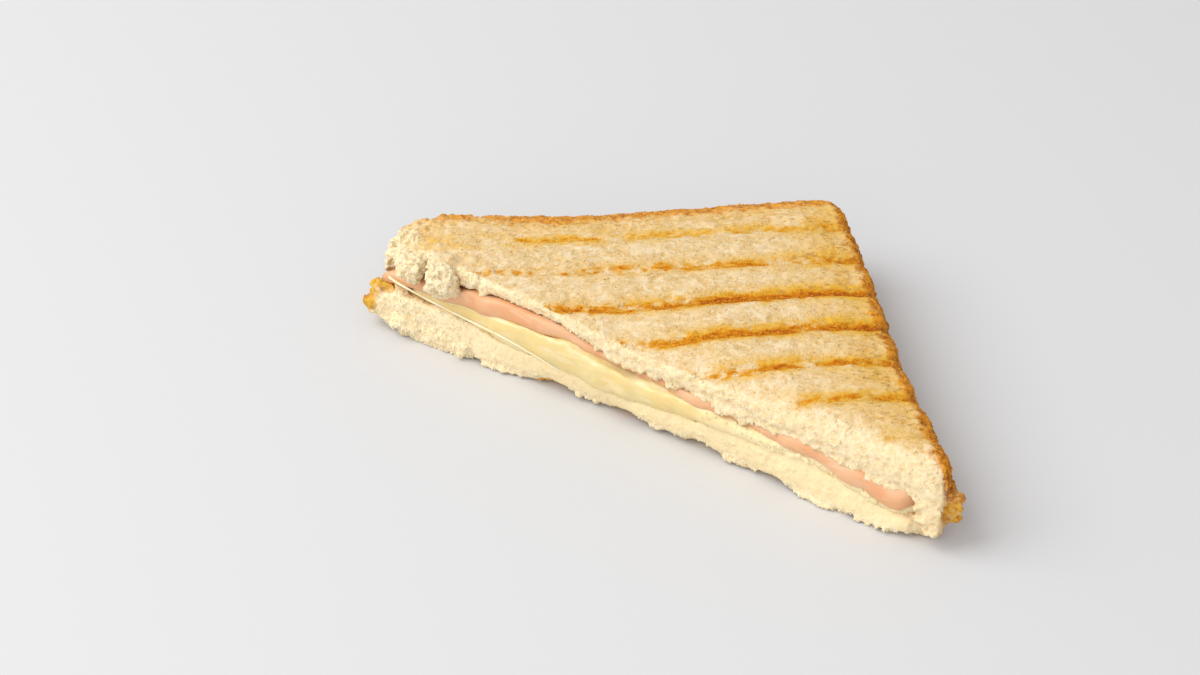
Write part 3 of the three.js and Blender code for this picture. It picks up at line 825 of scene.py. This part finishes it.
def groove_relief(points):
    number, offset = nearest_groove(across_of(points))
    fill = GROOVE_FILL * GROOVE_STRENGTHS[number] * bell(offset, FILL_HALF_WIDTH)
    number, offset = nearest_mark(points)
    near_crust = 1 - ease(2 * MM, 12 * MM, from_crust(points))
    strength = GROOVE_STRENGTHS[number] * (0.8 + 0.5 * near_crust)
    press = GROOVE_PRESS * strength * bell(offset, PRESS_HALF_WIDTH)
    return fill * ease(2 * MM, 8 * MM, behind_cut(points)) - press


def relief_of_slice(points, part, seed, cragginess):
    """How far each point moves out along its normal, in mm, and how deep in a hole it is."""
    beside = 1 - ease(4 * MM, 17 * MM, part["edge"] + 3 * MM * bumps(points, 6 * MM, 2, seed + 9))
    drawn_out = 1 - foam(loaf_points(points, 2.1), 1.5 * MM, seed + 1)
    pressed = 1 - foam(loaf_points(points, 1.2), 1.7 * MM, seed)
    sparse = ease(0.05, 0.45, bumps(points, 3 * MM, 3, seed + 2))
    holes = drawn_out * beside * (0.35 + 0.65 * sparse) + pressed * (1 - beside) * (0.15 + 0.5 * sparse)
    land = LAND_BUMPS * bumps(points, 2.2 * MM, 4, seed + 3) - LAND_PORES * holes
    land += LAND_SWELL * bumps(points, 9 * MM, 2, seed + 8) + groove_relief(points)
    crag = foam(points, 1.5 * MM, seed + 4)
    torn = TORN_BUMPS * bumps(points, 1.9 * MM, 4, seed + 5) - TORN_PORES * (1 - crag)
    grain = foam(points, 1.1 * MM, seed + 6)
    side = CRUST_BUMPS * bumps(points, 2.2 * MM, 4, seed + 7) - CRUST_PORES * (1 - grain)
    rim = (1 - ease(0.5 * MM, 3 * MM, part["edge"])) * part["outer"]
    relief = part["outer"] * (1 - 0.6 * rim) * land + part["torn"] * (cragginess * torn)
    relief += (part["side"] + 0.6 * rim) * side
    relief += RIM_RISE * part["outer"] * (1 - ease(2.5 * MM, 5 * MM, part["edge"]))
    relief -= NOTCH_DEPTH * near(points, [NOTCH], 1.8 * MM)
    # How deep in a hole or a pit of the crust each point lies; the bread material paints shade there.
    hole = part["outer"] * holes * (1 - rim) + part["torn"] * 0.6 * (1 - crag)
    return relief * (1 - part["inner"]), hole + np.maximum(part["side"], rim) * (1 - grain), beside


print(f"skins of {SLICE_VOXEL / MM:.2f} mm squares, with grooves pressed {GROOVE_PRESS} mm in")

# %% Browning of a slice
BACK_RIM, SIDE_RIM = 5.6 * MM, 3.8 * MM  # how far the brown crust reaches in over the top
BACK_TOAST, SIDE_TOAST = 12 * MM, 22 * MM  # and how far the golden toasting does


def brown_slice(mesh, points, part, marks, halos, seed, toasted, torn_end, fresh):
    """toasted is a list of places and the radius round them; fresh says how pale torn crumb is."""
    edge = part["edge"] + 2.5 * MM * bumps(points, 7 * MM, 3, seed)
    on_top = np.clip(part["outer"] + part["side"], 0, 1)
    core, halo = grill_marks(points, marks, halos, seed + 1)
    shown = part["outer"] * ease(0.5 * MM, 4 * MM, part["cut"])
    write_attribute(mesh, "mark", core * shown)
    places = near(points, *toasted)
    mottled = np.clip(0.72 + 1.3 * bumps(points, 1.4 * MM, 3, seed + 6), 0, 1)
    write_attribute(mesh, "halo", np.maximum(halo * shown, mottled * places))
    at_back = across_of(points) < along_of(points)
    reach = np.where(at_back, BACK_TOAST, SIDE_TOAST)
    golden = 0.18 + 0.82 * (1 - ease(0.1, 1.0, edge / reach))
    toast = on_top * golden * ease(2 * MM, 10 * MM, part["cut"])
    specks = ease(0.25, 0.5, bumps(points, 1.3 * MM, 3, seed + 5)) * places
    write_attribute(mesh, "toast", np.maximum(toast, np.maximum(places * 0.6, specks)))
    ragged_edge = part["edge"] + 1.3 * MM * bumps(points, 1.5 * MM, 4, seed + 2)
    rim = 1 - ease(0.68, 1.0, ragged_edge / np.where(at_back, BACK_RIM, SIDE_RIM))
    crust = np.clip(part["side"] + rim * (part["outer"] + part["side"]), 0, 1)
    crust *= np.where(at_back, 0.8, 1)
    crust *= ease(1 * MM, 4 * MM, part["cut"])
    crust *= ease(torn_end[0] * MM, torn_end[1] * MM, points[:, 0] + 0.8 * (points[:, 1] + 30 * MM))
    scorched = 0.7 * ease(-0.15, 0.35, bumps(points, 1.1 * MM, 3, seed + 7)) * places
    write_attribute(mesh, "crust", crust * (1 - places) + scorched)
    write_attribute(mesh, "torn", part["torn"] * fresh(points))


def soak_slice(mesh, points, part, amount, edges):
    """Cheese has soaked into the face, but not into the fringe along its foot."""
    foot = np.interp(points[:, 0], [edge[0] for edge in edges], [edge[1] for edge in edges])
    above = points[:, 2] - foot + 0.8 * MM * bumps(points, 2.5 * MM, 3, 91)
    soaked = part["face"] * ease(0.2, 0.4, station_of(points)) * ease(1.2 * MM, 2.6 * MM, above)
    write_attribute(mesh, "soak", amount * soaked)


# %% Make a slice
def make_slice(name, node, inside, marks, halos, seed, throws, torn_reach, cragginess, soak, toasted,
               torn_end, fresh):
    piece = soft_copy(node, name)
    bm = bmesh_of(piece.data)
    plain = BVHTree.FromBMesh(bm)
    edges = face_edges(plain)
    thrown = sum(throw(bm, plain, edges) for throw in throws)
    written(bm, piece.data)
    skinned(piece, SLICE_VOXEL, 1)
    thinned(piece, parts_of_slice(points_of(piece.data), plain, inside, torn_reach)["inner"], KEPT_SHARE)
    mesh = piece.data
    points, normals = points_of(mesh), normals_of(mesh)
    part = parts_of_slice(points, plain, inside, torn_reach)
    relief, hole, beside = relief_of_slice(points, part, seed, cragginess(points))
    moved = points + normals * (relief * MM)[:, None]
    moved[:, 2] = np.maximum(moved[:, 2], 0)  # the table holds up what would sink below it
    move_points(mesh, moved)
    # Where the material paints shade in holes and pits.
    write_attribute(mesh, "hole", hole)
    write_attribute(mesh, "beside", beside)
    brown_slice(mesh, points, part, marks, halos, seed + 20, toasted, torn_end, fresh)
    soak_slice(mesh, points, part, soak, edges)
    finished(piece, node, bread)
    print(f"  {thrown} crumbs were thrown at it")
    return piece


# %% The upper slice
TIP_FLAKE = (63.0, -28.6, 7.6)
TIP_END = [(58.6, -32.0, 5.6), (60.4, -30.8, 4.6)]
TOP_FLAKES = [(-59.0, -27.4, 16.4), (-60.6, -28.2, 11.4), (-58.6, -25.4, 17.4)]


def top_torn_reach(points):
    """The dome end was torn rather than cut, and its corner most of all."""
    station = station_of(points)
    return (1.3 + 3.9 * (1 - ease(0.16, 0.3, station)) + 13 * (1 - ease(0.1, 0.17, station))) * MM


def top_cragginess(points):
    return 0.45 + 0.95 * (1 - ease(0.16, 0.3, station_of(points)))


def top_freshness(points):
    """Along the lip the grill still reached the torn crumb, except at the dome end."""
    return 1 - 0.35 * ease(0.24, 0.34, station_of(points))


top_slice = make_slice(
    "top_slice", "bread_top", inside=-1, marks=TOP_MARKS, halos=TOP_HALOS, seed=11,
    torn_reach=top_torn_reach, cragginess=top_cragginess, soak=0.1, toasted=([TIP_FLAKE], 4 * MM),
    torn_end=(-51, -43), fresh=top_freshness,
    throws=[
        at_face(300, (0.35, 0.7), (-0.1, 0.6), 1, push=(0, -0.3, -0.5)),  # the fringe of the lip
        at_face(160, (0.35, 0.5), (-0.1, 0.5), 8, push=(0, -0.3, -0.9), tall=1.7),
        at_face(300, (0.3, 0.5), (0.3, 5), 2),  # crumbs all over the cut
        at_face(320, (0.4, 1.1), (0.2, 6), 3, (0.05, 0.27)),  # and more towards the dome
        at_face(60, (0.4, 0.8), (-0.2, 0.6), 9, (0.635, 0.68), push=(0, -0.8, -1.3)),
        in_box(330, (0.4, 0.95), (-62, -37, 9), (-41, -24, 19), 4),  # the torn lumps
        in_box(160, (0.5, 1.2), (-64, -30, 11), (-54, -16, 19), 24),
        in_box(420, (0.35, 0.6), (61, -31, 2), (64, -10, 15), 10),  # rough crust at the tip
        lump(TIP_FLAKE, (1.2, 1.6, 3.4), 0.15, 12, 0.95),
        *lumps(TIP_END, [(1.7, 1.1, 1.7), (1.8, 1.2, 1.5)], 21, 0.0),
        *lumps(TOP_FLAKES, [(1.4, 1.0, 1.2), (0.8, 0.9, 1.7)], 13),
        lump(TOP_FLAKES[2], (0.9, 0.9, 0.9), 0.0, 15),
    ])

# %% The lower slice
CORNER_CLUMPS = [(-61.0, -31.4, 7.8), (-61.8, -33.0, 5.2), (-58.4, -30.2, 8.6), (-55.4, -30.6, 9.0)]


def base_torn_reach(points):
    return np.full(len(points), 2.4 * MM)


def base_cragginess(points):
    return 0.28 + 0.4 * (1 - ease(0.1, 0.25, station_of(points)))


bottom_slice = make_slice(
    "bottom_slice", "bread_bottom", inside=1, marks=BASE_MARKS, halos=BASE_MARKS, seed=43,
    torn_reach=base_torn_reach, cragginess=base_cragginess, soak=0.75,
    toasted=(CORNER_CLUMPS[:3], 2.7 * MM), torn_end=(-56, -50), fresh=lambda points: 1,
    throws=[
        at_face(1000, (0.33, 0.6), (-0.1, 0.6), 5, push=(0, -0.6, -0.3)),  # the fringe of the foot
        at_face(140, (0.33, 0.5), (-0.1, 0.5), 11, push=(0, -0.5, -0.35), tall=1.3),
        at_face(160, (0.3, 0.42), (0.5, 8), 6),  # crumbs all over the cut
        at_face(140, (0.4, 1.1), (0, 3), 7, (0.08, 0.25)),  # and larger towards the dome
        at_face(520, (0.4, 0.7), (-0.1, 0.6), 20, (0.6, 0.97), push=(0, -0.4, 0.9), from_top=True),
        *lumps(CORNER_CLUMPS, [(1.3, 1.3, 1.3), (1.3, 1.0, 1.6), (1.6, 1.0, 1.1), (1.5, 0.9, 0.9)], 16),
    ])

# %% [markdown]
# ## Melted cheese
#
# The cheese ran to the cut and bulges there in soft folds. A simulated fluid could run like that,
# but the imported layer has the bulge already. So it gets only slow swells along the cut, and its
# skin swells far enough to meet the bread and the ham. Towards the front tip it has soaked into
# the crumb and looks like it.

# %% Cheese
FILLING_VOXEL = 0.36 * MM
NEAR_CUT = 9 * MM
SWELL_WAYS = (1, 0.3, 1)  # up and down to meet its neighbours, but hardly out of the cut
SOAKED_STATIONS = (0.58, 0.68)  # from here on towards the tip it has soaked into the crumb


def near_the_cut(points):
    return 1 - ease(0.5 * NEAR_CUT, NEAR_CUT, behind_cut(points))


def cheese_material(name, deep, pale, streak):
    material, tree, shader = new_material(name)
    flow = noise_node(tree, 1.6 * MM, 3, 0.5, stretch=(4, 1, 1))
    cloud = noise_node(tree, 5 * MM, 2)
    color = mixed(ranged(cloud, 0.35, 0.65), deep, pale)
    # Pale streaks along the flow: partly the cheese's own, partly a painted sheen.
    color = mixed(ranged(flow, 0.5, 0.68, 0, 0.85), color, streak)
    crumbly = attribute(tree, "crumbly")
    color = mixed(crumbly, color, SOAKED)
    roughness = ranged(crumbly, 0, 1, 0.22, 0.7)
    set_food(shader, color, roughness, 0.5, 0.4, (1.0, 0.75, 0.35), 1.6 * MM)
    bump_from(shader, noise_node(tree, 0.8 * MM, 3, 0.5, stretch=(3, 1, 1)), 0.35, 0.25 * MM)
    return material


# %% The cheese layer
CHEESE_DEEP = (0.79, 0.60, 0.25)
CHEESE_PALE = (0.77, 0.62, 0.29)
# The streak colour is partly the cheese's own and partly a painted sheen.
CHEESE_STREAK_AND_SHEEN = (0.85, 0.70, 0.40)
BUBBLE = (-10.4, -33.3, 8.3)  # a burst bubble left a ring
RING_RADIUS = 1.0 * MM
DRIP = (-33.5, -32.6, 10.0)


def make_filling(name, node, material, swell, relief, seed, push=0.0):
    piece = soft_copy(node, name)
    skinned(piece, FILLING_VOXEL, 3)
    mesh = piece.data
    points, normals = points_of(mesh), normals_of(mesh)
    crumbly = ease(*SOAKED_STATIONS, station_of(points))
    write_attribute(mesh, "crumbly", crumbly)
    write_attribute(mesh, "soak", crumbly)
    points[:, 1] -= near_the_cut(points) * push * crumbly
    out = near_the_cut(points) * (swell + relief(points, seed))
    move_points(mesh, points + normals * np.array(SWELL_WAYS) * (out * MM)[:, None])
    finished(piece, node, material)
    return piece


def cheese_relief(points, seed):
    folds = points / np.array([4.0, 1.0, 1.0])
    soft = 0.5 * bumps(folds, 1.6 * MM, 3, seed) + 0.25 * bumps(points, 5 * MM, 2, seed + 1)
    ring = 0.4 * bell(away_from(points, BUBBLE) - RING_RADIUS, 0.35 * MM)
    return soft + ring + 0.9 * bell(away_from(points, DRIP), 1.0 * MM)


cheese_finish = cheese_material("melted_cheese", CHEESE_DEEP, CHEESE_PALE, CHEESE_STREAK_AND_SHEEN)
cheese = make_filling("cheese_layer", "cheese", cheese_finish, 0.8, cheese_relief, 61)

# %% [markdown]
# ## Ham
#
# A thin slice of cooked ham: moist, smooth and pale pink. A bent sheet would do, but the packed
# layer lies right already, so it takes the cheese's steps, with noise drawn out for its fibres.

# %% Ham
HAM_DEEP = (0.75, 0.38, 0.19)
HAM_PALE = (0.78, 0.45, 0.25)
HAM_FIBRE = (0.85, 0.56, 0.36)
HAM_PUSH = 0.6 * MM  # how far the front end of the ham was squeezed out


def ham_material():
    material, tree, shader = new_material("moist_ham")
    fibre = noise_node(tree, 1.2 * MM, 3, 0.5, stretch=(5, 2, 1))
    cloud = noise_node(tree, 6 * MM, 2)
    color = mixed(ranged(cloud, 0.35, 0.65), HAM_DEEP, HAM_PALE)
    color = mixed(ranged(fibre, 0.55, 0.72, 0, 0.6), color, HAM_FIBRE)
    set_food(shader, color, 0.38, 0.35, 0.4, (1.0, 0.5, 0.3), 1.4 * MM)
    bump_from(shader, noise_node(tree, 0.7 * MM, 3, 0.5, stretch=(4, 2, 1)), 0.25, 0.15 * MM)
    return material


def ham_relief(points, seed):
    return 0.12 * bumps(points, 4 * MM, 3, seed)


make_filling("ham_layer", "ham", ham_material(), 0.5, ham_relief, 71, HAM_PUSH)

# %% [markdown]
# ## A thread of cheese
#
# When the halves were pulled apart, a thread of cheese was drawn out and fell back across the
# mouth. Rings of points could be skinned into a tube. A curve with a round bevel is quicker to
# shape, with its own thickness at each point, and is made a mesh at the end.

# %% Thread
THREAD_RADIUS = 0.18 * MM
# The thread's pale colour is partly drawn cheese's own and partly a painted highlight.
THREAD_PALE_AND_GLINT = (0.92, 0.80, 0.56)
THREAD_PATH = [  # place in mm and how thick it is there
    ((-58.4, -30.9, 11.0), 2.2), ((-57.6, -31.6, 11.0), 1.5), ((-51.5, -32.3, 10.7), 1.1),
    ((-45.2, -32.8, 10.35), 1.0), ((-38.1, -33.1, 9.9), 1.2), ((-31.0, -33.3, 9.5), 1.2),
    ((-26.4, -33.4, 8.9), 1.0), ((-21.8, -33.5, 8.1), 0.8), ((-17.6, -33.2, 6.8), 0.5)]


def make_thread():
    curve = with_settings(bpy.data.curves.new("cheese_thread", "CURVE"), dimensions="3D",
                          bevel_depth=THREAD_RADIUS, bevel_resolution=2, use_fill_caps=True)
    spline = curve.splines.new("NURBS")
    spline.points.add(len(THREAD_PATH) - 1)
    with_settings(spline, use_endpoint_u=True, order_u=4)
    for point, (place, thickness) in zip(spline.points, THREAD_PATH):
        point.co = (*(Vector(place) * MM), 1)
        point.radius = thickness
    holder = add_object("thread_curve", curve)
    mesh = evaluated_mesh(holder)
    bpy.data.objects.remove(holder)
    thread = add_object("cheese_thread", mesh)
    # Its paler colours are partly a painted highlight.
    pale = cheese_material("drawn_cheese", CHEESE_STREAK_AND_SHEEN, THREAD_PALE_AND_GLINT, THREAD_PALE_AND_GLINT)
    finished(thread, None, pale)


make_thread()

# %% [markdown]
# ## Loose grains of crumb
#
# Torn crumb is covered in tiny grains and curls that are finer than the skin of a slice, and the
# pressed lands carry some too. A particle system could scatter them, but they would all have the
# same colour. So they are many small uneven stones in one mesh, partly sunk in the slice wherever
# chance puts them, and each takes the browning of the spot it sits on.

# %% Where a grain may sit
def read_attribute(mesh, name):
    """An attribute's values, or zeros where the piece has no such attribute."""
    if name in mesh.attributes:
        return read_all(mesh.attributes[name].data, "value")
    return np.zeros(len(mesh.vertices))


def spots_on(mesh, chance, count, draw):
    """Faces drawn by their area and by the chance at their first corner, and those corners."""
    corners = read_all(mesh.loops, "vertex_index", kind=int)
    first = corners[read_all(mesh.polygons, "loop_start", kind=int)]
    odds = read_all(mesh.polygons, "area") * chance[first]
    picked = draw.choice(len(odds), count, p=odds / odds.sum())
    places, normals = (read_all(mesh.polygons, name, 3)[picked] for name in ("center", "normal"))
    return places, normals, first[picked]


# %% Scatter grains
SINK = 0.35  # share of a grain's radius that its middle lies under the skin
SPREAD = 0.16  # mm, how far a grain strays from the middle of its face
GRAIN_MARKS = ("mark", "halo", "toast", "crust", "torn", "soak", "beside")


def unit_grain():
    bm = bmesh.new()
    bmesh.ops.create_icosphere(bm, subdivisions=1, radius=1)
    corners = np.array([vert.co[:] for vert in bm.verts])
    bm.verts.index_update()
    faces = np.array([[vert.index for vert in face.verts] for face in bm.faces])
    bm.free()
    return corners, faces


def random_turns(count, draw):
    first = draw.normal(size=(count, 3))
    first /= np.linalg.norm(first, axis=1, keepdims=True)
    second = np.cross(first, draw.normal(size=(count, 3)))
    second /= np.linalg.norm(second, axis=1, keepdims=True)
    return np.stack((first, second, np.cross(first, second)), axis=2)


def scatter(name, hosts, sizes, seed):
    """Grains on some slices, each given with the chance at its points and a count of grains."""
    draw = np.random.default_rng(seed)
    corners, faces = unit_grain()
    all_points, all_marks = [], []
    for piece, chance, count in hosts:
        count = count
        place, normal, source = spots_on(piece.data, chance, count, draw)
        size = (sizes[0] + (sizes[1] - sizes[0]) * draw.random(count) ** 3) * MM
        shape = corners * draw.uniform(0.6, 1.4, (count, 1, 3))
        shape *= draw.uniform(0.7, 1.3, (count, len(corners), 1))
        shape = np.einsum("nij,nkj->nki", random_turns(count, draw), shape) * size[:, None, None]
        stray = draw.uniform(-SPREAD, SPREAD, (count, 3)) * MM
        all_points.append(shape + (place + stray - normal * SINK * size[:, None])[:, None])
        all_marks.append([np.repeat(read_attribute(piece.data, mark)[source], len(corners))
                          for mark in GRAIN_MARKS])
    points = np.concatenate(all_points)
    points[:, :, 2] = np.maximum(points[:, :, 2], 0)  # none goes through the table
    joined = (faces + len(corners) * np.arange(len(points))[:, None, None]).reshape(-1, 3)
    mesh = bpy.data.meshes.new(name)
    mesh.from_pydata(points.reshape(-1, 3).tolist(), [], joined.tolist())
    for mark, values in zip(GRAIN_MARKS, np.concatenate(all_marks, axis=1)):
        write_attribute(mesh, mark, values)
    finished(add_object(name, mesh), None, bread)


print(f"grains are sunk by {SINK:.0%} of their radius")

# %% Where grains fall
DOME_TEAR_X = -52 * MM  # the end of the loaf is torn up to here
LUMPS_TO_X = -38 * MM


def torn_chance(piece):
    """Grains sit where the bread is torn, but hardly where cheese has soaked in."""
    mesh = piece.data
    points = points_of(mesh)
    reach = np.where(points[:, 0] < DOME_TEAR_X, 16, 8) * MM
    near_tear = 1 - ease(0.6 * reach, reach, behind_cut(points))
    near_tear *= 1 + 1.5 * (points[:, 0] < LUMPS_TO_X)
    near_tear *= 1 + 3 * ease(0, 0.5, -normals_of(mesh)[:, 2])  # most of all they hang from the lip
    dry = 1 - 0.97 * ease(0, 0.3, read_attribute(mesh, "soak"))
    return read_attribute(mesh, "torn") * near_tear * dry


def land_chance(piece):
    """A few more sit on the pressed lands and the crust."""
    mesh = piece.data
    up = ease(0.5, 0.8, normals_of(mesh)[:, 2]) * ease(9 * MM, 11 * MM, points_of(mesh)[:, 2])
    return up * (1 - read_attribute(mesh, "torn")) + 0.6 * read_attribute(mesh, "crust")


def soaked_chance(piece):
    """And on the cheese where it looks like crumb."""
    mesh = piece.data
    return read_attribute(mesh, "crumbly") * (1 - ease(0, 3 * MM, behind_cut(points_of(mesh)) - 1 * MM))


# %% The grains
scatter("torn_crumbs", [(top_slice, torn_chance(top_slice), 5200),
                        (bottom_slice, torn_chance(bottom_slice), 3000),
                        (cheese, soaked_chance(cheese), 700)], (0.11, 0.32), 31)
scatter("pressed_crumbs", [(top_slice, land_chance(top_slice), 6800)], (0.10, 0.22), 32)
